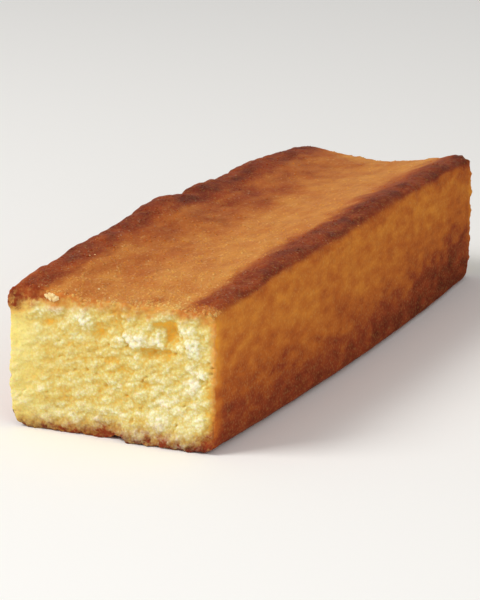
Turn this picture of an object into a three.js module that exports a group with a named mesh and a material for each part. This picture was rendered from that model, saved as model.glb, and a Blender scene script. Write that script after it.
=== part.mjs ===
// A bar of baked cheesecake, cut across at both ends.
// The browned top sinks between two raised rims that arch along the bar, the sides belly out a little
// above a rounded foot, and both cuts show a coarse crumb with pockets, a tear and clumps that stand proud.
// Millimetres, +Z up. The bar lies along Y on its flat base, and its front cut faces -Y.

import * as THREE from "three";
import { mergeVertices } from "three/addons/utils/BufferGeometryUtils.js";
import { ImprovedNoise } from "three/addons/math/ImprovedNoise.js";

// Driving dimensions of the bar
const LENGTH = 121;
const END_WIDTH = 34.6;
const HEIGHT = 21.3; // of the sunken middle of the top, at the cuts
const SIDE_BELLY = { left: 1.0, right: 2.0 }; // how far each side stands out at mid length, at the foot
const BELLY_AT_TOP = 0.25; // share of it left at the top
const FOOT_RADIUS = { front: 2.1, back: 1.2 }; // of the lower long edges, at the two cuts
const SHOULDER_RADIUS = 1.3; // of the upper long edges

// The top: a rim runs along each side, and the middle between them is sunken.
// front, back and bow are heights above HEIGHT: at the two cuts, and added at mid length.
const RIM_INSET = 3.4; // from a rim's crest to the side
const RIM_STEEPNESS = 1.8; // the power by which the top climbs from the middle to a crest
const SHOULDER_DROP = 0.35; // from a crest to the side
const LEFT_RIM = { front: 1.5, back: 1.2, bow: 2.2 };
const RIGHT_RIM = { front: 0.5, back: 1.8, bow: 0.9 };
const MIDDLE = { front: 0.1, back: -0.4, bow: 0.9 };
const ARCH_POWER = 3.2; // how flat an arch is at mid length
// Swellings of the rims: side (-1 left, 1 right), place along the bar, half length, height
const RIM_SWELLINGS = [
  { side: -1, along: -11, half: 7, rise: 0.75 },
  { side: -1, along: 8, half: 3, rise: 0.35 },
  { side: -1, along: 27, half: 5, rise: 0.25 },
  { side: 1, along: 12, half: 9, rise: 0.55 },
  { side: 1, along: -27, half: 6, rise: 0.3 },
];

// Uneven baking: the swing of the surface and the length of its waves
const TOP_WAVES = { swing: 0.3, length: 8 };
const RIM_WAVES = { swing: 0.2, length: 5 };
const SIDE_WAVES = { swing: 0.22, length: 9 };

// The crumb of a cut: coarse crags and finer grains, wider than tall as the crumb lies in beds
const CRAGS = { swing: 0.4, wide: 3.4, tall: 2.3 };
const GRAINS = { swing: 0.35, wide: 2.0, tall: 1.5 };
const CRUST_SHARE = 0.45; // of the crumb's relief that is left at the crust
const CRUST_BAND = 1.6; // width over which it fades

// The front cut: a little askew, with its right half leaning out at the foot over a broken notch
const FRONT_SKEW = THREE.MathUtils.degToRad(3);
const SKEW_REACH = 30; // how far along the bar the skew dies out
const LOBE = { split: 1.2, reach: 7, out: 0.55, back: 0.7 };
const NOTCH = { across: 0.6, half: 1.7, rise: 0.9, reach: 4.8 };

// The two cuts: place along the bar, the noise plane of the crumb, and its hollows.
// A hollow has a place across and up, half sizes and a depth; a clump that stands proud has a negative depth.
const FRONT_CUT = { along: -LENGTH / 2, plane: 5.9, hollows: [
  { across: 9.3, up: 17.8, wide: 2.2, tall: 1.0, depth: 1.2 },
  { across: 10.1, up: 16.5, wide: 0.9, tall: 1.2, depth: 0.9 },
  { across: 7.2, up: 14.5, wide: 2.9, tall: 0.7, depth: 0.9 },
  { across: -10.2, up: 17.4, wide: 1.6, tall: 0.8, depth: 0.9 },
  { across: -1.9, up: 16.8, wide: 1.2, tall: 0.8, depth: 0.7 },
  { across: 0.9, up: 18.4, wide: 0.8, tall: 1.3, depth: 0.6 },
  { across: 15.0, up: 9.9, wide: 0.9, tall: 1.2, depth: 0.4 },
  { across: 5.4, up: 16.4, wide: 1.7, tall: 0.9, depth: -0.7 },
  { across: 12.8, up: 16.6, wide: 1.3, tall: 2.0, depth: -0.5 },
  { across: -4.9, up: 18.6, wide: 1.5, tall: 0.9, depth: -0.6 },
  { across: -9.3, up: 19.3, wide: 1.6, tall: 0.8, depth: -0.5 },
] };
const BACK_CUT = { along: LENGTH / 2, plane: 71.4, hollows: [
  { across: -6.5, up: 14.8, wide: 2.4, tall: 0.9, depth: 1.1 },
  { across: 7.6, up: 11.2, wide: 1.3, tall: 1.0, depth: 0.8 },
  { across: 2.1, up: 17.3, wide: 1.6, tall: 0.8, depth: 0.8 },
  { across: -11.3, up: 8.1, wide: 1.2, tall: 0.9, depth: 0.7 },
  { across: 10.4, up: 16.4, wide: 1.6, tall: 1.0, depth: -0.6 },
  { across: -2.2, up: 10.6, wide: 1.8, tall: 1.1, depth: -0.6 },
] };

// Cells of the surface grid, and the share of an edge, which runs from -1 to 1, that one cell takes
const CELLS = { across: 28, along: 50, up: 18 };
const CORNER_CELL = { across: 2 / CELLS.across, up: 2 / CELLS.up };

const noise = new ImprovedNoise();
const { clamp, lerp, smoothstep } = THREE.MathUtils;

// Planes of the noise, far enough apart to look unlike
const TOP_PLANE = 11.3;
const RIM_PLANE = 23.7;
const SIDE_PLANE = 37.1;
const GRAIN_OFFSET = 9.2;

// A smooth hill of height 1 at 0, with its flanks at about 1
function hill(distance) {
  return Math.exp(-distance * distance);
}

// A bump of height 1 at 0 that ends at 1
function bump(distance) {
  return Math.max(0, 1 - distance * distance) ** 2;
}

// A line that runs from its front height to its back height and is arched between them; t is -1 to 1
function arched(line, t) {
  const straight = lerp(line.front, line.back, (t + 1) / 2);
  return straight + line.bow * (1 - Math.abs(t) ** ARCH_POWER);
}

function rimHeight(side, y) {
  const t = clamp((2 * y) / LENGTH, -1, 1);
  let height = arched(side < 0 ? LEFT_RIM : RIGHT_RIM, t);
  for (const swelling of RIM_SWELLINGS) {
    if (swelling.side === side) height += swelling.rise * hill((y - swelling.along) / swelling.half);
  }
  return height + RIM_WAVES.swing * noise.noise(y / RIM_WAVES.length, side, RIM_PLANE);
}

function halfWidth(y, z, side) {
  const t = (2 * y) / LENGTH;
  const belly = (side < 0 ? SIDE_BELLY.left : SIDE_BELLY.right) * lerp(1, BELLY_AT_TOP, z / HEIGHT);
  const waves = noise.noise(y / SIDE_WAVES.length, z / SIDE_WAVES.length, SIDE_PLANE * side);
  return END_WIDTH / 2 + belly * (1 - t * t) + SIDE_WAVES.swing * waves;
}

// Height of the top above the base, before its long edges are rounded
function topHeight(x, y) {
  const half = halfWidth(y, HEIGHT, Math.sign(x) || 1);
  const crest = half - RIM_INSET;
  const middle = arched(MIDDLE, clamp((2 * y) / LENGTH, -1, 1));
  const rim = rimHeight(x < 0 ? -1 : 1, y);
  const reach = Math.abs(x) / crest;
  const waves = TOP_WAVES.swing * noise.noise(x / TOP_WAVES.length, y / TOP_WAVES.length, TOP_PLANE);
  if (reach < 1) return HEIGHT + lerp(middle, rim, reach ** RIM_STEEPNESS) + waves;
  const over = clamp((Math.abs(x) - crest) / RIM_INSET, 0, 1);
  return HEIGHT + rim - SHOULDER_DROP * over * over + waves;
}

// A point of a section of the bar. Each square ring of the grid becomes a smaller copy of the outline,
// and the last cell of each edge is bent half way round the corner, so the base is flat up to a grid line.
function sectionPoint(u, w, y) {
  const ring = Math.max(Math.abs(u), Math.abs(w));
  if (ring === 0) return { x: 0, z: HEIGHT / 2 };
  const side = u / ring;
  const up = w / ring;
  const half = halfWidth(y, (HEIGHT / 2) * (up + 1), Math.sign(u) || 1);
  const footRadius = lerp(FOOT_RADIUS.front, FOOT_RADIUS.back, y / LENGTH + 0.5);
  const radius = up > 0 ? SHOULDER_RADIUS : footRadius;
  const sideShare = clamp(1 - (1 - Math.abs(side)) / CORNER_CELL.across, 0, 1);
  const upShare = clamp(1 - (1 - Math.abs(up)) / CORNER_CELL.up, 0, 1);
  const turn = (Math.PI / 4) * (1 + sideShare - upShare);
  const innerX = (half - radius) * clamp(side / (1 - CORNER_CELL.across), -1, 1);
  const innerZ = (HEIGHT / 2 - radius) * clamp(up / (1 - CORNER_CELL.up), -1, 1);
  const x = ring * (innerX + radius * Math.sin(turn) * Math.sign(side));
  const z = HEIGHT / 2 + ring * (innerZ + radius * Math.cos(turn) * Math.sign(up));
  return { x, z: z * (topHeight(x, y) / HEIGHT) };
}

// How far the crumb lies behind the plane of its cut
function crumbDepth(x, z, cut) {
  let depth = CRAGS.swing * noise.noise(x / CRAGS.wide, z / CRAGS.tall, cut.plane);
  depth += GRAINS.swing * noise.noise(x / GRAINS.wide, z / GRAINS.tall, cut.plane + GRAIN_OFFSET);
  const edge = Math.min(END_WIDTH / 2 - Math.abs(x), z, topHeight(x, cut.along) - z);
  depth *= lerp(CRUST_SHARE, 1, smoothstep(edge, 0, CRUST_BAND));
  for (const hollow of cut.hollows) {
    const away = Math.hypot((x - hollow.across) / hollow.wide, (z - hollow.up) / hollow.tall);
    depth += hollow.depth * hill(away);
  }
  return depth;
}

// How far the foot of the front cut leans out on the right of its split, and in on the left
function footLean(x, z) {
  const right = smoothstep(x, LOBE.split - 1, LOBE.split + 1);
  const low = 1 - smoothstep(z, 0, LOBE.reach);
  return lerp(LOBE.back, -LOBE.out, right) * low;
}

// A point of the bar's surface; u runs across, v along and w up, each from -1 to 1
function barPoint(u, v, w) {
  const flat = (v * LENGTH) / 2;
  const { x, z } = sectionPoint(u, w, flat);
  const nearFront = 1 - smoothstep(flat + LENGTH / 2, 0, SKEW_REACH);
  const point = new THREE.Vector3(x, flat - x * Math.tan(FRONT_SKEW) * nearFront, z);
  if (v === -1) point.y += crumbDepth(x, z, FRONT_CUT) + footLean(x, z);
  if (v === 1) point.y -= crumbDepth(x, z, BACK_CUT);
  if (w === -1) {
    const behind = (flat + LENGTH / 2) / NOTCH.reach;
    point.z += NOTCH.rise * bump((x - NOTCH.across) / NOTCH.half) * Math.max(0, 1 - behind);
  }
  return point;
}

function barGeometry() {
  const grid = new THREE.BoxGeometry(2, 2, 2, CELLS.across, CELLS.along, CELLS.up);
  const position = grid.getAttribute("position");
  for (let i = 0; i < position.count; i++) {
    const point = barPoint(position.getX(i), position.getY(i), position.getZ(i));
    position.setXYZ(i, point.x, point.y, point.z);
  }
  grid.deleteAttribute("normal");
  grid.deleteAttribute("uv");
  const bar = mergeVertices(grid);
  bar.computeBoundingBox();
  const middle = bar.boundingBox.getCenter(new THREE.Vector3());
  bar.translate(-middle.x, -middle.y, -bar.boundingBox.min.z);
  bar.computeVertexNormals();
  return bar;
}

const baked = new THREE.MeshStandardMaterial({ color: 0xb5702e, roughness: 0.6, metalness: 0 });
const cheesecake = new THREE.Mesh(barGeometry(), baked);
cheesecake.name = "cheesecake";

const group = new THREE.Group();
group.add(cheesecake);

export default group;
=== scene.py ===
"""Dresses the baked cheesecake bar: its browned crust and the grains that stand out of it, the crumb of its
two cuts, and a few loose crumbs.

The bar lies along Y with its front cut towards -Y. Sizes are millimetres unless a comment says otherwise.
"""
import math
import random

import bmesh
import bpy
import numpy as np
from mathutils import Euler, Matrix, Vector, noise
from mathutils.bvhtree import BVHTree


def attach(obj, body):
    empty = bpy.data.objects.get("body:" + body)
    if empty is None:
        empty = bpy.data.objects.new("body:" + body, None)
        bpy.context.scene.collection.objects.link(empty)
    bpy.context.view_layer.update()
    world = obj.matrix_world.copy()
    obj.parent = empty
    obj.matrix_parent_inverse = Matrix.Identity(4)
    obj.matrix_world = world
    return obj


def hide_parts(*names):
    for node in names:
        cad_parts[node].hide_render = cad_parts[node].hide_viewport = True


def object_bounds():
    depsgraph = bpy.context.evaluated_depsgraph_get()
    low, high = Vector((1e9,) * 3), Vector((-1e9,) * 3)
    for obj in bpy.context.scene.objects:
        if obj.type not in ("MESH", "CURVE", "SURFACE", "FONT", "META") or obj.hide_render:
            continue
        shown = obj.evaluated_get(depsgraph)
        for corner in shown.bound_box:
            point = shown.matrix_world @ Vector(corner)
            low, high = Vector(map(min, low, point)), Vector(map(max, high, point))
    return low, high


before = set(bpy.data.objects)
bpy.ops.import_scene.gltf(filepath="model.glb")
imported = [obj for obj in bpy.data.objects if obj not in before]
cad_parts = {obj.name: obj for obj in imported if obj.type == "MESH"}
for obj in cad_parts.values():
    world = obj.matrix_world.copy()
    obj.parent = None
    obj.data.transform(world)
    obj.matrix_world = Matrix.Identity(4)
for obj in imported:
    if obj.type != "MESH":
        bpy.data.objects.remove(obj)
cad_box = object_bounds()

METRE = 1000.0
NODE = "cheesecake"
FRONT, BACK = -1, 1  # the ends of the bar

# The fine mesh
HALVINGS = 2  # of every cell of the solid; the front cut is halved once more
SAME_SPOT = 1e-6  # vertices nearer than this are one, in metres
CUT_REACH = 5.0  # a cut's crumb lies within this of the bar's end
CUT_FACING = 0.3  # and its faces look along the bar at least this much
BASE_FLAT = 0.01  # the base lies within this of the floor
# A vertex is marked 1 on a cut, 0 off it and this on the edge; the fine mesh has marks between these too
EDGE_MARK = 0.5
EDGE_NEAR = 0.05  # a mark this close to it is the edge itself
LIP_LEAST = 0.01  # from this mark on, a vertex belongs to a cut or to the lip of crust round it
RELIEF_MARKS = (0.1, 0.6)  # marks between which the crust's relief turns into the crumb's

# Relief of the crumb: clumps in tilted beds that are wider than tall, fine grains on them, and pores between.
# Gold is how much more golden the crumb is painted in their gaps, as painted shade.
BED_TILT = 18.0  # degrees, up to the right
CLUMPS = {"size": (2.1, 2.1, 1.3), "swing": 0.45, "gold": 0.48}
GRAINS = {"size": 0.62, "swing": 0.26, "gold": 0.25}
PORES = {"size": (2.2, 2.2, 1.4), "width": 0.15, "depth": 0.36, "gold": 0.24}
EDGE_ROUGH = {"marks": 0.25, "waves": [(2.2, 0.45), (0.9, 0.4)]}  # round a cut, over a range of marks
SMEAR = {"across": -16.8, "up": 14.8, "wide": 2.6, "tall": 3.4, "calm": 0.65}  # smooth patch of the front cut
LEFT_CALM = {"from": 3.0, "to": -12.0, "more": 0.22}  # the crumb is smoother to the left
LEFT_LEMON = {"from": -10.0, "to": -17.0, "more": 0.5}  # and yellower
# Tears and pale clots of each cut: place across and up and half width of one end, then of the other
TEARS = {
    FRONT: [
        (6.8, 18.7, 0.5, 9.5, 18.7, 0.75),
        (9.4, 18.6, 1.2, 8.5, 15.1, -0.1),
        (4.4, 14.6, 0.25, 9.4, 14.8, 0.35),
    ],
    BACK: [
        (-8.4, 14.6, 0.25, -4.8, 15.1, 0.5),
        (1.0, 17.2, 0.45, 3.0, 17.5, 0.2),
        (7.0, 11.1, 0.35, 8.2, 11.4, 0.35),
    ],
}
CLOTS = {
    FRONT: [
        (8.1, 20.0, 0.55, 9.9, 20.2, 0.6),
        (6.7, 17.5, 0.55, 8.1, 17.6, 0.65),
        (2.9, 15.6, 0.85, 4.8, 15.9, 0.9),
        (7.8, 15.8, 0.45, 9.0, 15.6, 0.5),
        (1.1, 16.1, 0.5, 1.9, 16.3, 0.5),
        (1.0, 19.1, 0.5, 2.0, 19.3, 0.5),
        (-10.6, 19.3, 0.6, -9.2, 19.2, 0.7),
        (-5.6, 18.6, 0.8, -4.0, 18.3, 0.7),
        (-14.2, 18.3, 0.8, -12.8, 18.6, 0.8),
        (13.2, 10.6, 0.9, 14.2, 11.6, 0.9),
        (12.6, 15.4, 0.6, 13.6, 16.4, 0.7),
        (11.3, 18.4, 0.5, 10.6, 16.2, 0.6),
    ],
    BACK: [
        (-7.5, 15.9, 0.6, -6.0, 16.2, 0.7),
        (2.0, 16.2, 0.6, 3.4, 16.4, 0.5),
        (-13.0, 9.0, 0.7, -12.0, 9.8, 0.8),
    ],
}
# A tear's gold paints its torn hollow golden: painted shade.
TEAR = {"depth": 0.22, "calm": 0.3, "gold": 0.9, "edge": 0.38, "ragged": [(1.3, 0.15), (0.6, 0.25)]}
CLOT = {"height": 0.15, "pale": 0.25, "gaps": (1.0, 0.3), "edge": 0.3, "ragged": [(1.3, 0.5), (0.6, 0.45)]}
# Tone of the crumb: its painted shade, golden in hollows, where it is flat and by its depth, its waves, then
# patches of the front cut with a place across and up, half sizes, and how much more golden or, below 0,
# paler they are
HOLLOW_SHADE = {"flat": 0.42, "more": 0.25, "depths": (-0.7, 1.0)}
CRUMB_TONE = [((7.0, 7.0, 3.0), 0.12), ((3.0, 3.0, 0.7), 0.16)]
CRUMB_PATCHES = [
    (-15.5, 8.0, 2.5, 5.0, -0.08),
    (-7.0, 3.4, 8.0, 1.6, -0.18),
    (-9.0, 11.0, 6.0, 5.0, 0.08),
    (4.5, 4.0, 2.5, 1.5, 0.12),
    (4.5, 10.5, 3.0, 3.0, 0.06),
    (9.0, 7.0, 4.0, 4.0, -0.2),
    (4.5, 15.4, 2.5, 1.2, -0.14),
    (12.2, 17.4, 1.8, 1.8, -0.28),
    (13.6, 10.0, 2.0, 6.0, -0.26),
    (13.5, 3.6, 2.0, 1.2, 0.1),
    (15.6, 9.8, 1.0, 1.8, 0.2),
    (16.6, 4.8, 1.3, 2.4, 0.35),
    (-16.8, 1.4, 1.6, 1.0, 0.35),
    (-16.0, 18.4, 2.5, 1.1, 0.42),
    # The next two rows paint two small pockets golden: painted shade, with no relief.
    (-11.3, 17.2, 1.1, 0.55, 0.4),
    (-2.4, 16.9, 0.8, 0.7, 0.4),
    (0.6, 18.8, 0.7, 1.6, 0.28),
]

# Relief of the crust, as (wave length, swing) pairs
SKIN_WAVES = [(2.4, 0.06), (1.1, 0.05), ((1.4, 0.8, 2.0), 0.05)]
RIM_SCALLOPS = {"size": 5.5, "swing": 0.45, "octaves": 2}
RIM_WAVES = [(1.6, 0.12)]
RIMS = [(-16.5, 3.0, 1.0), (16.0, 2.4, 1.0)]  # place across, half width and share
RIM_FOOT, RIM_TOP = 17.0, 20.5
BASE_CALM = (0.0, 1.0)  # heights between which the relief begins, so that the base stays flat
# Swells and, below 0, dips of the left rim: place along, half length and rise
LEFT_RIM_SWELLS = [
    (-44.0, 5.0, -0.5),
    (-29.0, 6.0, -0.3),
    (-4.5, 3.5, 0.45),
    (3.3, 1.6, -0.4),
    (22.0, 8.0, -0.6),
]
# The same at the bar's corners: place across, along and up, half sizes and rise
CORNER_SWELLS = [
    (-17.7, -59.0, 19.9, 1.5, 4.0, 1.5, 0.7),
    (-17.7, -59.0, 9.0, 1.5, 4.0, 4.5, 0.4),
    (-17.7, -59.0, 2.5, 1.5, 4.0, 1.5, 0.35),
    (-17.5, -59.3, 22.2, 1.0, 2.0, 0.7, -0.35),
    (16.4, 60.4, 22.6, 1.3, 2.5, 1.0, -0.4),
    (16.6, 60.0, 1.6, 1.5, 2.0, 2.2, -0.4),
]

# Browning of the crust: 0 is pale gold, 1 nearly black. Each "more" is added by degrees between two places.
TOP_BROWN = {"right": 0.33, "left": 0.39, "from": 3.0, "to": -6.0}
LEFT_RIM_BROWN = {"from": -9.5, "to": -14.5, "more": 0.41, "waver": 1.5}
RIDGE_BROWN = {"from": 9.2, "to": 14.2, "more": 0.46, "waver": 1.4}
RIM_WAVER = [((4.0, 10.0, 4.0), 1.0), ((1.5, 4.0, 1.5), 0.8)]
RIM_SPOTS = [((3.0, 7.0, 3.0), 0.28), ((1.2, 3.0, 1.2), 0.22)]
END_PALE = {"top": (5.0, 0.12), "side": (3.5, 0.24)}  # reach and how much paler beside a cut
END_PALE_FADE = (-7.0, -14.0)  # across, where it fades out towards the left rim
FRINGE_PALE = {"less": 0.06, "marks": (0.5, 0.9)}  # how much paler the top's crust is on a cut
# Patches of the top: place across and along, half sizes, change of browning
TOP_PATCHES = [
    (-8.5, 10.0, 4.5, 14.0, 0.14),
    (-8.5, 10.0, 5.0, 45.0, 0.1),
    (-10.8, -22.7, 3.0, 6.0, 0.06),
    (5.9, -57.0, 1.2, 1.2, 0.14),
    (16.0, 58.0, 3.0, 8.0, 0.22),
    (16.2, -61.0, 2.6, 4.0, -0.42),
    # The next two rows, paler left of the ridge, are painted sheen.
    (10.5, -54.0, 2.4, 5.0, -0.08),
    (10.8, -42.0, 1.8, 12.0, -0.1),
    (-6.0, 28.0, 4.0, 26.0, 0.05),
]
TOP_MOTTLE = [((4.0, 10.0, 4.0), 0.12), ((1.8, 4.0, 1.8), 0.1)]
MOTTLE_CALM = {"from": -3.0, "to": 4.0, "more": 0.65}  # the right half of the top is baked more evenly
SIDE_BROWN = 0.36
SIDE_FOOT_BROWN = {"from": 16.0, "to": 0.0, "more": 0.34}
SIDE_FOOT_WAVER = [((6.0, 14.0, 6.0), 2.2), ((1.6, 3.6, 1.8), 2.2)]
# Darker low down towards the back: partly browner crust, partly painted shade.
SIDE_FAR_BROWN_AND_SHADE = {"from": -40.0, "to": 60.0, "more": 0.11}
SIDE_FAR_BELOW = (19.0, 9.5)  # heights between which it sets in
SIDE_BROW = {"from": 20.8, "to": 23.4, "more": 0.19, "waver": 1.6}  # under the ridge
# Patches of the sides: place along and up, half sizes, change of browning
SIDE_PATCHES = [
    (-46.0, 10.0, 12.0, 3.0, 0.06),
    (-52.0, 4.0, 10.0, 4.0, -0.06),
    (-55.0, 11.0, 7.0, 3.0, 0.06),
    (-61.0, 1.5, 4.0, 3.5, 0.14),
    (50.0, 20.0, 14.0, 4.0, 0.07),
    (60.0, 22.6, 7.0, 3.2, 0.3),
]
SIDE_MOTTLE = [((5.0, 11.0, 5.0), 0.07), ((1.5, 3.4, 1.7), 0.1)]
BASE_BROWN = 0.86
# The foot of a cut darkens towards the floor: partly its bottom crust, partly painted shade.
CUT_BASE_BROWN_AND_SHADE = {"from": 2.0, "to": 0.2, "inner": 0.66}
# How far a face looks up or down where it turns from side to top or base, and the same by height on a cut
FACING_UP = (0.3, 0.9)
FACING_DOWN = (-0.35, -0.8)
CUT_NEAR_TOP = (12.0, 17.0)
CUT_NEAR_BASE = (6.0, 3.0)

# Rind of the cuts: over which depths the crust of each side turns to crumb, and how ragged it is
RIND_FADE = {"top": (-1.7, 3.0), "base": (-0.6, 3.8), "right": (-1.3, 1.5)}
# Where the crust of top and base is thicker or, below 0, thinner: place across, half width and how much
TOP_CRUST = [(-16.5, 3.5, 2.5), (-9.5, 3.5, 1.1), (8.8, 2.2, -0.8), (14.0, 2.5, 0.3)]
# The row at -2.0 thickens the brown base crust beside the notch, partly as painted shadow there.
BASE_CRUST = [(17.2, 2.4, 2.7), (7.5, 4.0, 0.45), (-2.0, 3.0, 0.8), (-16.5, 2.5, -0.9)]
RIND_RAGGED = [(3.5, 0.8), (1.2, 0.9)]
RIND_GRAIN = {"top": 0.4, "base": 0.5}  # how much it differs from grain to grain
RIND_EDGE = (0.05, 0.6)  # where on its way to crumb the top's crust shows as crumb
GOLD_FADE = (0.4, 1.0)  # and over which part of that way the crumb is golden
EDGE_STEP = 0.8  # in which steps across a cut's upper edge is followed
LIP = 3.0  # how far along the crust the loose grains of a cut reach
LIP_MARKS = (0.2, 0.5)  # marks between which they set in on the sides

# Loose crumbs: the clump at the upper edge of the front cut, with a place across and up and a radius each,
# then how many more are strewn on the top, where and how large
CRUMB_CLUMP = [
    (-11.4, 21.2, 0.36),
    (-10.8, 21.4, 0.42),
    (-10.2, 21.3, 0.46),
    (-9.6, 21.1, 0.38),
    (-10.6, 21.0, 0.38),
    (-10.0, 20.9, 0.34),
]
STREWN = 4
STREWN_ACROSS = (-14.0, 14.0)
STREWN_ALONG = (-60.0, -25.0)
STREWN_RADIUS = (0.1, 0.17)
CRUMB_FINENESS = 3  # of the ball that a crumb is made from
LUMP_SCALE = 1.3  # how fine its lumps are, then each layer of them: how much finer, and how high in radii
CRUMB_LUMPS = [(1.0, 0.5), (2.6, 0.35)]
RAY_START = 1000.0  # how far away the crumbs and grains set out to meet the cake

# Grains that stand out of the top's crust: how many lie all along it and how many more along its front edge,
# and over what length each kind thins out; then how large they are and how deep they sit as a share of that
GRAIN_KINDS = [(4900, 40.0), (300, 2.2)]
GRAIN_ACROSS = (-16.0, 18.0)
GRAIN_RADIUS = (0.1, 0.32)
GRAIN_FORM = (0.6, 1.3)
GRAIN_SINK = 0.45
GRAIN_FINENESS = 1
GRAIN_FACING = 0.6  # they lie where the cake faces up at least this much
GRAIN_CRUMB = 0.6  # and is crumb at most this much
# How much paler they are than the crust under them, partly pale grain and partly a painted highlight on their
# caps, and how much more beside the cut
GRAIN_PALER_AND_HIGHLIGHT = (0.0, 0.32)
GRAIN_END_PALE = {"reach": 3.0, "less": 0.22}

# Noise: its grid is turned so that it doesn't line up with the bar, and each pattern has a part of its own
NOISE_TURN = np.array(Euler((0.6, 0.9, 0.4)).to_matrix())
SEED_STEP = 17.31  # how far apart these parts lie
SEEDS = {
    "clumps": 1,
    "grains": 2,
    "pores": 3,
    "tears": 4,
    "crumb tone": 6,
    "clots": 8,
    "skin": 11,
    "rim waves": 15,
    "scallops": 18,
    "top mottle": 21,
    "rim waver": 24,
    "side mottle": 27,
    "side foot": 30,
    "rind": 31,
    "cut edge": 37,
    "rim spots": 41,
    "side brow": 44,
}
GRAIN_SEED = 11
STREWN_SEED = 7
NOISE_SEED = 5  # the bends of the grains would differ from run to run without it
PUFF_MEAN = 0.4  # of the rounded swellings
GRAIN_MEAN = 0.45  # of the distance to the nearest grain, in sizes
CHANCE_MEAN = 0.5
GRAIN_BEND = 0.3  # how much the grains are bent out of round
GRAIN_BEND_SCALE = 1.7

# Screen colours of 0 to 255, by browning on the crust, and on the crumb by its painted shade, pale where it
# stands proud and golden in its hollows
TOP_STOPS = [
    (0.0, (240, 186, 104)),
    (0.25, (216, 143, 68)),
    (0.45, (186, 106, 48)),
    (0.65, (144, 64, 33)),
    (0.85, (106, 42, 29)),
    (1.0, (80, 32, 25)),
]
SIDE_STOPS = [
    (0.0, (236, 164, 56)),
    (0.25, (208, 128, 52)),
    (0.45, (182, 97, 42)),
    (0.65, (142, 63, 37)),
    (0.85, (98, 40, 28)),
    (1.0, (62, 26, 20)),
]
CRUMB_STOPS = [
    (0.0, (247, 242, 214)),
    (0.3, (226, 215, 156)),
    (0.5, (218, 196, 116)),
    (0.75, (217, 176, 84)),
    (1.0, (234, 172, 64)),
]
LOOSE_STOPS = [
    (0.0, (250, 238, 206)),
    (0.5, (237, 209, 150)),
    (1.0, (214, 166, 98)),
]
GOLD = (205, 145, 70)
LEMON = (238, 221, 134)
RUDDY = (176, 78, 36)
FLECK = (232, 176, 116)
FLOOR_COLOUR = (250, 249, 247)

# Noise of the materials: size, lowest and highest value, and detail where it isn't the usual
CRUMB_MOTTLE = (0.8, -0.14, 0.14)
# Painted shade in the gaps between grains of the crumb.
CRUMB_GAP_SHADE = (0.38, -0.17, 0.2)
CRUMB_BORDER = (0.4, -0.35, 0.35)
CRUMB_BUMPS = (0.4, 1.0, 0.0)
GOLD_MOTTLE = (0.5, 0.2, 1.4)
TOP_GRAIN = [(1.6, -0.1, 0.1, 2.0), (0.5, -0.08, 0.08, 2.0)]
SIDE_GRAIN = [(1.6, -0.17, 0.17, 2.0), (0.5, -0.08, 0.08, 2.0)]
RUDDY_MOTTLE = (5.0, -1.2, 2.0, 4.0)
FLECK_MOTTLE = (0.7, -5.0, 2.9, 2.0)
SKIN_BUMPS = (0.3, 0.0, 0.9, 4.0)
LOOSE_MOTTLE = (0.5, 0.0, 1.0)
LOOSE_BUMPS = (0.2, 0.0, 1.0)
TOP_STRETCH = (1.0, 3.0, 1.0)  # of the top's grain, which runs along the bar
SIDE_STRETCH = (1.0, 2.2, 0.9)
# The materials' other values
RUDDY_SHARE = 0.35
FLECK_SHARE = 0.35
FLECK_FADE = (-3.0, 2.2)  # slope and start of how the flecks fade with browning
TRANSLUCENCE = 0.35
LIGHT_REACH = 1.0  # how far light goes into the cake, and the share of it for each colour
LIGHT_SHARES = (1.0, 0.55, 0.2)
CRUST_ROUGHNESS = 0.52
CRUMB_ROUGHNESS = 0.87
FLOOR_ROUGHNESS = 0.9
TOP_SHEEN = 0.03  # the top is a little greasy, the sides are dry
CAKE_BUMP = {"strength": 0.55, "depth": 0.12}
LOOSE_BUMP = {"strength": 0.5, "depth": 0.1}
# What the material reads where there is no cut
OFF_CUT = {"crumb": 0.0, "gold": 0.0, "painted_shade_and_tone": 0.5, "rough": 1.0, "lemon": 0.0}

# Camera, fitted to the corners of the bar in the photo, with angles in degrees
CAMERA_AZIMUTH = 22.511
CAMERA_ELEVATION = 14.119
CAMERA_DISTANCE = 470.0
CAMERA_AIM = (-4.83, 0.6, 7.30)
CAMERA_LENS = 165.9
CAMERA_SENSOR = 36.0
CAMERA_NEAR = 10.0

# Stage, with the power of the lights in watts
FLOOR_SIZE = 4000.0
SKY_STRENGTH = 0.45
LIGHTS = {
    "key": {
        "place": (-520, -420, 620),
        "aim": (0, 0, 10),
        "size": 420,
        "power": 5.4,
        "colour": (1.0, 0.98, 0.94),
    },
    "fill": {
        "place": (500, -500, 300),
        "aim": (0, -20, 10),
        "size": 400,
        "power": 1.3,
        "colour": (1.0, 0.98, 0.95),
    },
}


def rgb(red, green, blue):
    """A screen colour of 0 to 255 as the linear colour that a shader takes."""
    parts = [value / 255 for value in (red, green, blue)]
    return tuple(p / 12.92 if p <= 0.04045 else ((p + 0.055) / 1.055) ** 2.4 for p in parts) + (1.0,)


def hill(distance):
    """1 at 0, falling off smoothly, small beyond 2."""
    return np.exp(-distance * distance)


def hills(value, rows):
    """A sum of hills, each given by its place, half width and height."""
    return sum(height * hill((value - place) / half) for place, half, height in rows)


def patches(first, second, rows):
    """A sum of hills over two directions, each given by its place and half sizes in both, and its height."""
    total = np.zeros(len(first))
    for place, other_place, half, other_half, height in rows:
        total += height * hill((first - place) / half) * hill((second - other_place) / other_half)
    return total


def ramp(value, low, high):
    """0 at low, 1 at high, smooth between; high may be the smaller."""
    share = np.clip((value - low) / (high - low), 0, 1)
    return share * share * (3 - 2 * share)


def added(kind, value):
    """What a kind adds: nothing at its "from", all of its "more" at its "to"."""
    return kind["more"] * ramp(value, kind["from"], kind["to"])


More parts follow.
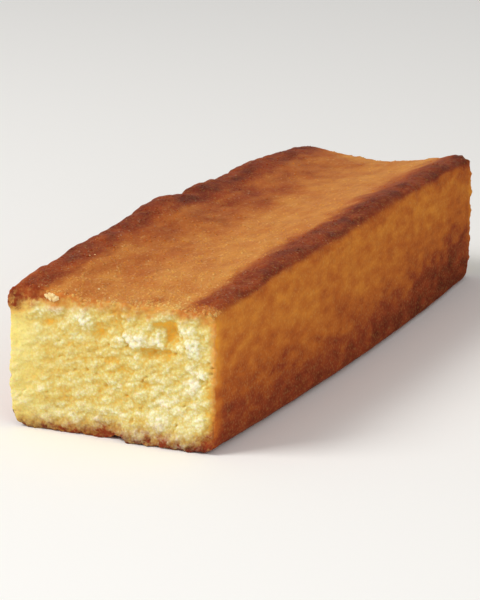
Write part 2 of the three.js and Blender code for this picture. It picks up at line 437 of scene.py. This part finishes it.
def lerp(first, second, share):
    """first at share 0, second at share 1."""
    return first + (second - first) * share


def spots(points, size, seed):
    """The points measured in sizes, which may differ by axis, in the seed's own part of the noise."""
    return ((points / np.asarray(size, float)) @ NOISE_TURN + SEED_STEP * seed).tolist()


def waves(points, layers, seed):
    """Smooth noise about 0: a sum of layers, each a wave length and a swing."""
    total = np.zeros(len(points))
    for step, (length, swing) in enumerate(layers):
        total += swing * np.array([noise.noise(spot) for spot in spots(points, length, seed + step)])
    return total


def puffed(points, size, octaves, seed):
    """Rounded swellings with creases between them, about 0."""
    return np.array([noise.turbulence(spot, octaves, True) for spot in spots(points, size, seed)]) - PUFF_MEAN


def grains(points, size, seed):
    """Scattered grains about size apart: the distance to the nearest in sizes, and its chance of 0 to 1."""
    distance = np.empty(len(points))
    chance = np.empty(len(points))
    for number, spot in enumerate(spots(points, size, seed)):
        bent = Vector(spot) + GRAIN_BEND * noise.noise_vector(Vector(spot) * GRAIN_BEND_SCALE)
        distances, middles = noise.voronoi(bent)
        distance[number] = distances[0]
        chance[number] = (1 + noise.cell(middles[0] * SEED_STEP)) / 2
    return distance, chance


def stroke(x, z, x1, z1, half1, x2, z2, half2):
    """How far inside a line each point lies; the line tapers from one half width to the other."""
    share = np.clip(((x - x1) * (x2 - x1) + (z - z1) * (z2 - z1)) / ((x2 - x1) ** 2 + (z2 - z1) ** 2), 0, 1)
    away = np.hypot(x - lerp(x1, x2, share), z - lerp(z1, z2, share))
    return lerp(half1, half2, share) - away


# The fine mesh

def is_cut(face, half_length):
    """Whether a face of the solid belongs to the crumb of a cut."""
    at_end = abs(face.calc_center_median().y) * METRE > half_length - CUT_REACH
    return at_end and abs(face.normal.y) > CUT_FACING


def quad_grid(cad):
    """The solid's mesh with its pairs of triangles joined, the cuts marked and the front cut halved once."""
    grid = bmesh.new()
    grid.from_mesh(cad.data)
    bmesh.ops.remove_doubles(grid, verts=grid.verts, dist=SAME_SPOT)
    bmesh.ops.join_triangles(
        grid,
        faces=grid.faces,
        angle_face_threshold=math.pi,
        angle_shape_threshold=math.pi,
        topology_influence=1.0,
    )
    grid.edges.index_update()
    half_length = max(vert.co.y for vert in grid.verts) * METRE
    cut_faces = {face for face in grid.faces if is_cut(face, half_length)}
    mark = grid.verts.layers.float.new("cut")
    for vert in grid.verts:
        share = sum(face in cut_faces for face in vert.link_faces) / len(vert.link_faces)
        vert[mark] = share if share in (0, 1) else EDGE_MARK
    front = {vert for face in cut_faces if face.calc_center_median().y < 0 for vert in face.verts}
    near_front = {edge for vert in front for face in vert.link_faces for edge in face.edges}
    in_order = sorted(near_front, key=lambda edge: edge.index)  # so that each run gives the same mesh
    bmesh.ops.subdivide_edges(grid, edges=in_order, cuts=1, use_grid_fill=True)
    return grid


def join_base(mesh):
    """Joins the flat base into one face, which needs no fine mesh."""
    fine = bmesh.new()
    fine.from_mesh(mesh)
    flat = [face for face in fine.faces if all(vert.co.z * METRE < BASE_FLAT for vert in face.verts)]
    bmesh.ops.dissolve_faces(fine, faces=flat, use_verts=True)
    fine.to_mesh(mesh)
    fine.free()


def fine_mesh(cad):
    """The quad grid, smoothed and divided."""
    grid = quad_grid(cad)
    coarse = bpy.data.meshes.new("coarse")
    grid.to_mesh(coarse)
    grid.free()
    holder = bpy.data.objects.new("coarse", coarse)
    bpy.context.scene.collection.objects.link(holder)
    divide = holder.modifiers.new("divide", "SUBSURF")
    divide.levels = HALVINGS
    divide.use_limit_surface = False
    fine = bpy.data.meshes.new_from_object(holder.evaluated_get(bpy.context.evaluated_depsgraph_get()))
    bpy.data.objects.remove(holder)
    bpy.data.meshes.remove(coarse)
    join_base(fine)
    return fine


class Surface:
    """The vertices of a fine mesh as arrays: places, outward directions and the marks of the cuts."""

    def __init__(self, mesh):
        count = len(mesh.vertices)
        self.mesh = mesh
        place = np.empty(count * 3)
        mesh.vertices.foreach_get("co", place)
        self.place = place.reshape(-1, 3) * METRE
        out = np.empty(count * 3)
        mesh.vertex_normals.foreach_get("vector", out)
        self.out = out.reshape(-1, 3)
        self.cut = np.empty(count)
        mesh.attributes["cut"].data.foreach_get("value", self.cut)

    def push(self, height):
        """Moves the vertices outward by that height each, but none below the floor."""
        moved = self.place + self.out * height[:, None]
        moved[:, 2] = np.maximum(moved[:, 2], 0)
        self.mesh.vertices.foreach_set("co", (moved / METRE).ravel())
        self.mesh.update()

    def paint(self, name, value):
        """Stores one value for each vertex for the material."""
        self.mesh.attributes.new(name, "FLOAT", "POINT").data.foreach_set("value", value.astype(np.float32))


# The crumb of a cut

class Cut:
    """The crumb of one end's cut and the lip of crust round it."""

    def __init__(self, surface, end):
        at_end = surface.place[:, 1] * end > 0
        self.end = end
        self.index = np.flatnonzero(at_end & (surface.cut > LIP_LEAST))
        self.place = surface.place[self.index]
        self.mark = surface.cut[self.index]
        self.edge = surface.place[at_end & (np.abs(surface.cut - EDGE_MARK) < EDGE_NEAR)]
        self.inside = ramp(self.mark, *RELIEF_MARKS)
        self.bed = self.place @ np.array(Euler((0, math.radians(BED_TILT), 0)).to_matrix()).T
        self.crack, _ = grains(self.bed, CLUMPS["size"], SEEDS["clumps"])
        self.gap, self.chance = grains(self.place, GRAINS["size"], SEEDS["grains"])
        self.torn = self.blots(TEARS[end], TEAR, SEEDS["tears"])
        self.clots = self.blots(CLOTS[end], CLOT, SEEDS["clots"]) * ramp(self.gap, *CLOT["gaps"])
        self.pits = hill(grains(self.bed, PORES["size"], SEEDS["pores"])[0] / PORES["width"])

    def plane_depth(self, place):
        """How far each place lies behind the plane that fits the cut best."""
        crumb = self.place[self.mark > EDGE_MARK]
        plane = np.linalg.lstsq(np.insert(crumb[:, ::2], 0, 1, 1), crumb[:, 1], rcond=None)[0]
        return (np.insert(place[:, ::2], 0, 1, 1) @ plane - place[:, 1]) * self.end

    def blots(self, strokes, kind, seed):
        """1 within the strokes, which have ragged edges."""
        x, _, z = self.place.T
        inside = np.max([stroke(x, z, *row) for row in strokes], axis=0)
        return ramp(inside + waves(self.place, kind["ragged"], seed), -kind["edge"], kind["edge"])

    def smear(self):
        """1 in the middle of the smooth patch at the left of the front cut."""
        x, _, z = self.place.T
        patch = hill((x - SMEAR["across"]) / SMEAR["wide"]) * hill((z - SMEAR["up"]) / SMEAR["tall"])
        return patch if self.end == FRONT else np.zeros(len(x))

    def roughness(self):
        """1 where the crumb is fully rough, less where it is smoother."""
        left = 1 - added(LEFT_CALM, self.place[:, 0])
        return left * (1 - SMEAR["calm"] * self.smear()) * (1 - TEAR["calm"] * self.torn)

    def relief(self):
        """Height of the torn crumb, rougher round its edge."""
        height = CLUMPS["swing"] * (GRAIN_MEAN - self.crack) + GRAINS["swing"] * (GRAIN_MEAN - self.gap)
        height -= PORES["depth"] * self.pits
        near_edge = hill((self.mark - EDGE_MARK) / EDGE_ROUGH["marks"])
        height += near_edge * waves(self.place, EDGE_ROUGH["waves"], SEEDS["cut edge"])
        return height * self.roughness() + CLOT["height"] * self.clots - TEAR["depth"] * self.torn

    def upper_edge(self, x):
        """Height of the cut's upper edge at each place across."""
        upper = self.edge[self.edge[:, 2] > RIM_FOOT]
        steps = np.round(upper[:, 0] / EDGE_STEP)
        across = np.unique(steps)
        highest = [upper[steps == step, 2].max() for step in across]
        return np.interp(x, across * EDGE_STEP, highest)

    def rinds(self):
        """How far each vertex is crumb rather than crust of the top, the base and the right side."""
        x, _, z = self.place.T
        outside = LIP * np.clip(1 - self.mark / EDGE_MARK, 0, 1)
        below_top = np.where(self.mark < EDGE_MARK, -outside, self.upper_edge(x) - z)
        ragged = waves(self.place, RIND_RAGGED, SEEDS["rind"])
        top = below_top - hills(x, TOP_CRUST) + ragged
        base = z - hills(x, BASE_CRUST) + ragged
        right = self.edge[:, 0].max() - x
        return ramp(top, *RIND_FADE["top"]), ramp(base, *RIND_FADE["base"]), ramp(right, *RIND_FADE["right"])

    def crumb_and_gold(self):
        """How much of each vertex is crumb rather than crust, and how golden the crust beside it makes it."""
        top, base, right = self.rinds()
        uneven = CHANCE_MEAN - self.chance
        under_top = ramp(top + RIND_GRAIN["top"] * uneven, *RIND_EDGE)
        above_base = base + RIND_GRAIN["base"] * uneven * (1 - base)
        crumb = np.clip(np.minimum(under_top, above_base), 0, 1) * right
        on_lip = np.maximum(ramp(self.place[:, 2], RIM_FOOT, RIM_TOP), ramp(self.mark, *LIP_MARKS))
        crumb = np.where(self.mark < EDGE_MARK, crumb * on_lip, crumb)
        return crumb, 1 - ramp(top * right, *GOLD_FADE)

    def tone(self):
        """How much more golden the crumb is in places, or paler below 0."""
        x, _, z = self.place.T
        change = waves(self.bed, CRUMB_TONE, SEEDS["crumb tone"])
        return change + patches(x, z, CRUMB_PATCHES) if self.end == FRONT else change

    def painted_shade_and_tone(self):
        """How much painted shade the crumb gets, with its tone: 0 where it stands proud and looks lit, 1 in
        its depths.
        """
        depth = np.where(self.mark > EDGE_MARK, self.plane_depth(self.place), 0)
        # Painted shade: more golden in the gaps between clumps and grains and in the pores.
        grain = CLUMPS["gold"] * (self.crack - GRAIN_MEAN) + GRAINS["gold"] * (self.gap - GRAIN_MEAN)
        grain += PORES["gold"] * self.pits
        # Painted shade by depth behind the cut's plane.
        smooth = HOLLOW_SHADE["flat"] + HOLLOW_SHADE["more"] * np.clip(depth, *HOLLOW_SHADE["depths"])
        painted_shade_and_tone = smooth + grain * self.roughness() + self.tone() - CLOT["pale"] * self.clots
        # Tears are painted golden: painted shade in their hollows.
        return np.clip(np.maximum(painted_shade_and_tone, TEAR["gold"] * self.torn), 0, 1)

    def lemon(self):
        """How far the crumb is lemon yellow, as it is at the left of the front cut."""
        left = added(LEFT_LEMON, self.place[:, 0])
        return np.maximum(left, self.smear()) if self.end == FRONT else np.zeros(len(left))

    def values(self):
        """What the material reads on the cut."""
        crumb, gold = self.crumb_and_gold()
        return {
            "crumb": crumb,
            "gold": gold,
            "painted_shade_and_tone": self.painted_shade_and_tone(),
            "rough": self.roughness(),
            "lemon": self.lemon(),
        }


# The crust

def rim_share(place):
    """1 on the raised rims of the top, falling off to the middle and down the sides."""
    return hills(place[:, 0], RIMS) * ramp(place[:, 2], RIM_FOOT, RIM_TOP)


def crust_relief(place):
    """Height of the baked skin: fine wrinkles all over, scalloped rims and the swells of the left one."""
    rims = rim_share(place)
    scallops = puffed(place, RIM_SCALLOPS["size"], RIM_SCALLOPS["octaves"], SEEDS["scallops"])
    height = waves(place, SKIN_WAVES, SEEDS["skin"])
    height += rims * (RIM_SCALLOPS["swing"] * scallops + waves(place, RIM_WAVES, SEEDS["rim waves"]))
    height += rims * (place[:, 0] < 0) * hills(place[:, 1], LEFT_RIM_SWELLS)
    return height * ramp(place[:, 2], *BASE_CALM)


def corner_relief(place):
    """Height of the swells at the corners, where crust and cut meet."""
    x, y, z = place.T
    height = np.zeros(len(place))
    for across, along, up, wide, long, tall, rise in CORNER_SWELLS:
        height += rise * hill((x - across) / wide) * hill((y - along) / long) * hill((z - up) / tall)
    return height


def top_browning(place):
    """How brown the top is: darkest on its rims, with mottles and patches, two of which, paler left of the
    ridge, are painted sheen.
    """
    x, y, _ = place.T
    waver = waves(place, RIM_WAVER, SEEDS["rim waver"])
    spotted = 1 + waves(place, RIM_SPOTS, SEEDS["rim spots"])
    brown = lerp(TOP_BROWN["right"], TOP_BROWN["left"], ramp(x, TOP_BROWN["from"], TOP_BROWN["to"]))
    for rim in (LEFT_RIM_BROWN, RIDGE_BROWN):
        brown += spotted * added(rim, x + rim["waver"] * waver)
    brown += (1 - added(MOTTLE_CALM, x)) * waves(place, TOP_MOTTLE, SEEDS["top mottle"])
    return brown + patches(x, y, TOP_PATCHES)


def side_browning(place):
    """How brown a side is: darker under the ridge, at its foot and low down towards the back, the last partly
    painted shade.
    """
    _, y, z = place.T
    under_ridge = z + SIDE_BROW["waver"] * waves(place, RIM_WAVER, SEEDS["side brow"])
    above_foot = z + waves(place, SIDE_FOOT_WAVER, SEEDS["side foot"])
    brown = SIDE_BROWN + waves(place, SIDE_MOTTLE, SEEDS["side mottle"])
    brown += added(SIDE_BROW, under_ridge) + added(SIDE_FOOT_BROWN, above_foot)
    # Painted shade, partly browner crust: darker low down towards the back.
    brown += added(SIDE_FAR_BROWN_AND_SHADE, y) * ramp(z, *SIDE_FAR_BELOW)
    return brown + patches(y, z, SIDE_PATCHES)


def base_browning(place):
    """How brown the base is: dark underneath and lighter up the foot of a cut, where the darkening towards
    the floor is partly painted shade.
    """
    foot = CUT_BASE_BROWN_AND_SHADE
    return lerp(foot["inner"], BASE_BROWN, ramp(place[:, 2], foot["from"], foot["to"]))


def paint_crust(surface, cuts):
    """How dark the crust is baked, by which way it faces; on a cut, by which side is near."""
    place = surface.place
    up = surface.out[:, 2]
    on_cut = surface.cut > EDGE_MARK
    top = np.where(on_cut, ramp(place[:, 2], *CUT_NEAR_TOP), ramp(up, *FACING_UP))
    base = np.where(on_cut, ramp(place[:, 2], *CUT_NEAR_BASE), ramp(up, *FACING_DOWN))
    side = 1 - top - base
    brown = top * top_browning(place) + side * side_browning(place) + base * base_browning(place)
    off_left_rim = 1 - ramp(place[:, 0], *END_PALE_FADE)
    for cut in cuts:
        for share, (reach, less) in ((top, END_PALE["top"]), (side, END_PALE["side"])):
            brown -= share * less * ramp(cut.plane_depth(place), reach, 0) * off_left_rim
    brown *= 1 - FRINGE_PALE["less"] * top * ramp(surface.cut, *FRINGE_PALE["marks"])
    surface.paint("side", side)
    surface.paint("brown", np.clip(brown, 0, 1))


def dress(surface):
    """Gives the fine mesh its relief and the values that its material reads."""
    height = crust_relief(surface.place)
    values = {name: np.full(len(height), value) for name, value in OFF_CUT.items()}
    cuts = [Cut(surface, FRONT), Cut(surface, BACK)]
    for cut in cuts:
        height[cut.index] = lerp(height[cut.index], cut.relief(), cut.inside)
        for name, value in cut.values().items():
            values[name][cut.index] = value
    for name, value in values.items():
        surface.paint(name, value)
    paint_crust(surface, cuts)
    surface.push(height + corner_relief(surface.place))


# Materials

class Nodes:
    """A material's node tree, with short calls to add and link nodes."""

    def __init__(self, name):
        self.material = bpy.data.materials.new(name)
        self.material.use_nodes = True
        self.tree = self.material.node_tree
        self.shader = self.tree.nodes["Principled BSDF"]

    def add(self, kind, **settings):
        """A new node with these settings."""
        node = self.tree.nodes.new(kind)
        for key, value in settings.items():
            setattr(node, key, value)
        return node

    def link(self, source, target):
        """Links one node's output to another's input."""
        self.tree.links.new(source, target)

    def feed(self, target, value):
        """Links an output to an input, or sets the input to a plain value."""
        if isinstance(value, bpy.types.NodeSocket):
            self.link(value, target)
        else:
            target.default_value = value

    def value_of(self, name):
        """The value of that name that is painted on the mesh."""
        return self.add("ShaderNodeAttribute", attribute_name=name).outputs["Fac"]

    def math(self, operation, *values, clamp=False):
        """A sum worked out from outputs and plain values."""
        node = self.add("ShaderNodeMath", operation=operation, use_clamp=clamp)
        for target, value in zip(node.inputs, values):
            self.feed(target, value)
        return node.outputs[0]

    def noise(self, size, low, high, detail=3.0, stretch=(1.0, 1.0, 1.0)):
        """Noise with features of that size, drawn out by the stretch, spread from low to high."""
        node = self.add("ShaderNodeTexNoise")
        node.inputs["Scale"].default_value = METRE / size
        node.inputs["Detail"].default_value = detail
        drawn = self.add("ShaderNodeVectorMath", operation="DIVIDE")
        drawn.inputs[1].default_value = stretch
        self.link(self.add("ShaderNodeTexCoord").outputs["Object"], drawn.inputs[0])
        self.link(drawn.outputs[0], node.inputs["Vector"])
        return self.math("MULTIPLY_ADD", node.outputs["Fac"], high - low, low)

    def grains(self, size, low, high):
        """Scattered grains about size apart, low in their middles and towards high between them."""
        node = self.add("ShaderNodeTexVoronoi")
        node.inputs["Scale"].default_value = METRE / size
        self.link(self.add("ShaderNodeTexCoord").outputs["Object"], node.inputs["Vector"])
        return self.math("MULTIPLY_ADD", node.outputs["Distance"], high - low, low)

    def colours(self, factor, stops):
        """A colour ramp of (place, screen colour) stops."""
        node = self.add("ShaderNodeValToRGB")
        elements = node.color_ramp.elements
        while len(elements) < len(stops):
            elements.new(1.0)
        for element, (place, colour) in zip(elements, stops):
            element.position = place
            element.color = rgb(*colour)
        self.link(factor, node.inputs["Fac"])
        return node.outputs["Color"]

    def mix(self, factor, first, second):
        """The first colour at factor 0, the second at 1; each is an output or a screen colour."""
        node = self.add("ShaderNodeMix", data_type="RGBA")
        colour_inputs = [socket for socket in node.inputs if socket.type == "RGBA"]
        self.link(factor, node.inputs["Factor"])
        for target, colour in zip(colour_inputs, (first, second)):
            self.feed(target, rgb(*colour) if isinstance(colour, tuple) else colour)
        return next(socket for socket in node.outputs if socket.type == "RGBA")

    def bump(self, height, strength, depth):
        """Fine unevenness by the height, too small for the mesh."""
        node = self.add("ShaderNodeBump")
        node.inputs["Strength"].default_value = strength
        node.inputs["Distance"].default_value = depth / METRE
        self.link(height, node.inputs["Height"])
        self.link(node.outputs["Normal"], self.shader.inputs["Normal"])


def crumb_colour(nodes):
    """Painted light and shade: pale where the crumb stands proud, golden in its hollows; golden beside the
    crust too.
    """
    # Painted shade between the Voronoi grains, on a random mottle.
    mottle_and_gap_shade = nodes.math("ADD", nodes.noise(*CRUMB_MOTTLE), nodes.grains(*CRUMB_GAP_SHADE))
    painted_shade_and_tone = nodes.math("MULTIPLY_ADD", mottle_and_gap_shade, nodes.value_of("rough"), nodes.value_of("painted_shade_and_tone"))
    gold = nodes.math("MULTIPLY", nodes.value_of("gold"), nodes.noise(*GOLD_MOTTLE), clamp=True)
    pale = nodes.mix(nodes.value_of("lemon"), nodes.colours(painted_shade_and_tone, CRUMB_STOPS), LEMON)
    return nodes.mix(gold, pale, GOLD)


def skin_colour(nodes, layers, stretch, stops):
    """The colour of baked skin by its browning, which a drawn-out grain of two layers makes uneven."""
    coarse, fine = [nodes.noise(*layer, stretch=stretch) for layer in layers]
    brown = nodes.math("ADD", nodes.value_of("brown"), nodes.math("ADD", coarse, fine))
    return nodes.colours(brown, stops)


def crust_colour(nodes):
    """Amber to dark brown, redder and flecked on the top."""
    top = skin_colour(nodes, TOP_GRAIN, TOP_STRETCH, TOP_STOPS)
    side = skin_colour(nodes, SIDE_GRAIN, SIDE_STRETCH, SIDE_STOPS)
    ruddy = nodes.math("MULTIPLY", nodes.noise(*RUDDY_MOTTLE), RUDDY_SHARE, clamp=True)
    flecks = nodes.math("MULTIPLY", nodes.noise(*FLECK_MOTTLE, stretch=TOP_STRETCH), FLECK_SHARE, clamp=True)
    where_pale = nodes.math("MULTIPLY_ADD", nodes.value_of("brown"), *FLECK_FADE, clamp=True)
    top = nodes.mix(nodes.math("MULTIPLY", flecks, where_pale), nodes.mix(ruddy, top, RUDDY), FLECK)
    return nodes.mix(nodes.value_of("side"), top, side)


def soft_cake(nodes, colour, translucence):
    """What crust and crumb share: a dull, more or less translucent body."""
    nodes.link(colour, nodes.shader.inputs["Base Color"])
    nodes.shader.inputs["Specular IOR Level"].default_value = 0.0
    nodes.shader.inputs["Subsurface Weight"].default_value = translucence
    nodes.shader.inputs["Subsurface Radius"].default_value = LIGHT_SHARES
    nodes.shader.inputs["Subsurface Scale"].default_value = LIGHT_REACH / METRE


def baked_cake():
    """Crust and crumb in one material, parted by the crumb value of each vertex."""
    nodes = Nodes("baked cake")
    crumb = nodes.math("ADD", nodes.value_of("crumb"), nodes.noise(*CRUMB_BORDER), clamp=True)
    soft_cake(nodes, nodes.mix(crumb, crust_colour(nodes), crumb_colour(nodes)), TRANSLUCENCE)
    roughness = nodes.math("MULTIPLY_ADD", crumb, CRUMB_ROUGHNESS - CRUST_ROUGHNESS, CRUST_ROUGHNESS)
    nodes.link(roughness, nodes.shader.inputs["Roughness"])
    sheen = nodes.math("MULTIPLY_ADD", nodes.value_of("side"), -TOP_SHEEN, TOP_SHEEN)
    nodes.link(sheen, nodes.shader.inputs["Specular IOR Level"])
    grain = nodes.math("MULTIPLY_ADD", crumb, nodes.grains(*CRUMB_BUMPS), nodes.noise(*SKIN_BUMPS))
    nodes.bump(grain, **CAKE_BUMP)
    return nodes.material


def loose_crumb():
    """Dry, pale crumb."""
    nodes = Nodes("loose crumb")
    soft_cake(nodes, nodes.colours(nodes.noise(*LOOSE_MOTTLE), LOOSE_STOPS), 0.0)
    nodes.shader.inputs["Roughness"].default_value = CRUMB_ROUGHNESS
    nodes.bump(nodes.noise(*LOOSE_BUMPS), **LOOSE_BUMP)
    return nodes.material


def plain(name, colour, roughness):
    """A material of one colour."""
    nodes = Nodes(name)
    nodes.shader.inputs["Base Color"].default_value = rgb(*colour)
    nodes.shader.inputs["Roughness"].default_value = roughness
    return nodes.material


# Pieces

def place_piece(name, mesh):
    """Adds a piece of the cake to the scene, on the cake's body."""
    mesh.shade_smooth()
    piece = bpy.data.objects.new(name, mesh)
    bpy.context.scene.collection.objects.link(piece)
    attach(piece, "root")
    return piece


def cake():
    """The bar itself, in place of the solid."""
    mesh = fine_mesh(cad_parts[NODE])
    mesh.materials.clear()
    mesh.materials.append(baked_cake())
    dress(Surface(mesh))
    piece = place_piece("cake", mesh)
    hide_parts(NODE)
    return mesh


def ground_of(mesh):
    """The mesh in a form that rays can be cast on."""
    return BVHTree.FromPolygons([v.co for v in mesh.vertices], [p.vertices for p in mesh.polygons])


def ball():
    """The corners and triangles of a ball with few sides."""
    shape = bmesh.new()
    bmesh.ops.create_icosphere(shape, subdivisions=GRAIN_FINENESS, radius=1.0)
    corners = np.array([vert.co for vert in shape.verts])
    triangles = np.array([[vert.index for vert in face.verts] for face in shape.faces])
    shape.free()
    return corners, triangles


def grain_places(chance, ground):
    """Where each grain of the crust lies, the cake's face under it, and how far it is from the front."""
    front = cad_box[0][1]
    for count, spread in GRAIN_KINDS:
        for _ in range(count):
            away = chance.expovariate(1 / spread)
            across = chance.uniform(*GRAIN_ACROSS)
            start = Vector((across / METRE, front + away / METRE, RAY_START / METRE))
            place, out, face, _ = ground.ray_cast(start, Vector((0, 0, -1)))
            if place and place.z * METRE > RIM_FOOT and out.z > GRAIN_FACING:
                yield place, face, away


def grain_corners(chance, corners, place):
    """The corners of one grain, turned and drawn out by chance and sunk in the crust."""
    radius = chance.uniform(*GRAIN_RADIUS) / METRE
    turn = np.array(Euler([chance.uniform(0, math.tau) for _ in range(3)]).to_matrix())
    form = np.array([chance.uniform(*GRAIN_FORM) for _ in range(3)])
    return (corners * form) @ turn * radius + np.array(place) - (0, 0, radius * GRAIN_SINK)


def grain_brown(chance, crust, away):
    """How brown a grain is: paler than the crust under it, partly as a painted highlight on its cap, most of
    all on pale crust and beside the cut.
    """
    brown = crust - chance.uniform(*GRAIN_PALER_AND_HIGHLIGHT) * (1 - crust) ** 2
    brown -= GRAIN_END_PALE["less"] * math.exp(-away / GRAIN_END_PALE["reach"])
    return max(brown, 0)


def crust_grains(cake_mesh):
    """Grains that stand out of the top's crust, most of them towards the front."""
    chance = random.Random(GRAIN_SEED)
    corners, triangles = ball()
    crumb = cake_mesh.attributes["crumb"].data
    crust = cake_mesh.attributes["brown"].data
    places = []
    brown = []
    for place, face, away in grain_places(chance, ground_of(cake_mesh)):
        under = cake_mesh.polygons[face].vertices[0]
        if crumb[under].value <= GRAIN_CRUMB:
            places.append(grain_corners(chance, corners, place))
            brown += [grain_brown(chance, crust[under].value, away)] * len(corners)
    faces = [triangles + len(corners) * number for number in range(len(places))]
    mesh = bpy.data.meshes.new("crust_grains")
    mesh.from_pydata(np.concatenate(places), [], np.concatenate(faces))
    mesh.attributes.new("brown", "FLOAT", "POINT").data.foreach_set("value", brown)
    mesh.materials.append(cake_mesh.materials[0])
    place_piece("crust_grains", mesh)


def crumb_rays():
    """Where each loose crumb comes from, which way it goes until it meets the cake, and its radius."""
    for across, up, radius in CRUMB_CLUMP:
        yield (across, -RAY_START, up), (0, 1, 0), radius
    chance = random.Random(STREWN_SEED)
    for _ in range(STREWN):
        start = (chance.uniform(*STREWN_ACROSS), chance.uniform(*STREWN_ALONG), RAY_START)
        yield start, (0, 0, -1), chance.uniform(*STREWN_RADIUS)


def lumpy(way, number):
    """How far out a crumb reaches in a direction, in radii."""
    spot = way * LUMP_SCALE + Vector((SEED_STEP * number,) * 3)
    reach = 1.0
    for finer, height in CRUMB_LUMPS:
        reach += height * noise.noise(spot * finer)
    return reach


def loose_crumbs(cake_mesh):
    """Small crumbs that stick to the cake: a clump at the upper edge of the front cut, some on the top."""
    heap = bmesh.new()
    ground = ground_of(cake_mesh)
    for number, (start, way, radius) in enumerate(crumb_rays()):
        hit, _, _, _ = ground.ray_cast(Vector(start) / METRE, Vector(way))
        if hit is None:
            continue
        made = bmesh.ops.create_icosphere(heap, subdivisions=CRUMB_FINENESS, radius=radius / METRE)
        for vert in made["verts"]:
            vert.co = hit + vert.co * lumpy(vert.co.normalized(), number)
    mesh = bpy.data.meshes.new("crumbs")
    heap.to_mesh(mesh)
    heap.free()
    mesh.materials.append(loose_crumb())
    place_piece("crumbs", mesh)


# Stage

def floor():
    """A plain pale floor."""
    mesh = bpy.data.meshes.new("floor")
    side = FLOOR_SIZE / METRE / 2
    corners = [(-side, -side, 0), (side, -side, 0), (side, side, 0), (-side, side, 0)]
    mesh.from_pydata(corners, [], [(0, 1, 2, 3)])
    mesh.materials.append(plain("floor", FLOOR_COLOUR, FLOOR_ROUGHNESS))
    piece = bpy.data.objects.new("floor", mesh)
    bpy.context.scene.collection.objects.link(piece)


def area_light(name, place, aim, size, power, colour):
    """A square soft light."""
    data = bpy.data.lights.new(name, "AREA")
    data.size = size / METRE
    data.energy = power
    data.color = colour
    light = bpy.data.objects.new(name, data)
    light.location = Vector(place) / METRE
    light.rotation_euler = (Vector(aim) - Vector(place)).to_track_quat("-Z", "Y").to_euler()
    bpy.context.scene.collection.objects.link(light)


def sky():
    """Even white light from all round."""
    world = bpy.data.worlds.new("studio")
    world.use_nodes = True
    background = world.node_tree.nodes["Background"]
    background.inputs["Color"].default_value = (1, 1, 1, 1)
    background.inputs["Strength"].default_value = SKY_STRENGTH
    bpy.context.scene.world = world


def camera():
    """The photo's camera."""
    data = bpy.data.cameras.new("camera")
    data.sensor_fit = "AUTO"
    data.sensor_width = CAMERA_SENSOR
    data.lens = CAMERA_LENS
    data.clip_start = CAMERA_NEAR / METRE
    turn = math.radians(CAMERA_AZIMUTH)
    rise = math.radians(CAMERA_ELEVATION)
    back = Vector((math.sin(turn) * math.cos(rise), -math.cos(turn) * math.cos(rise), math.sin(rise)))
    eye = bpy.data.objects.new("camera", data)
    eye.location = (Vector(CAMERA_AIM) + back * CAMERA_DISTANCE) / METRE
    eye.rotation_euler = (-back).to_track_quat("-Z", "Y").to_euler()
    bpy.context.scene.collection.objects.link(eye)
    bpy.context.scene.camera = eye


noise.seed_set(NOISE_SEED)
bar = cake()
crust_grains(bar)
loose_crumbs(bar)
floor()
sky()
for light_name, light in LIGHTS.items():
    area_light(light_name, **light)
camera()
bpy.context.scene.view_settings.view_transform = "Standard"
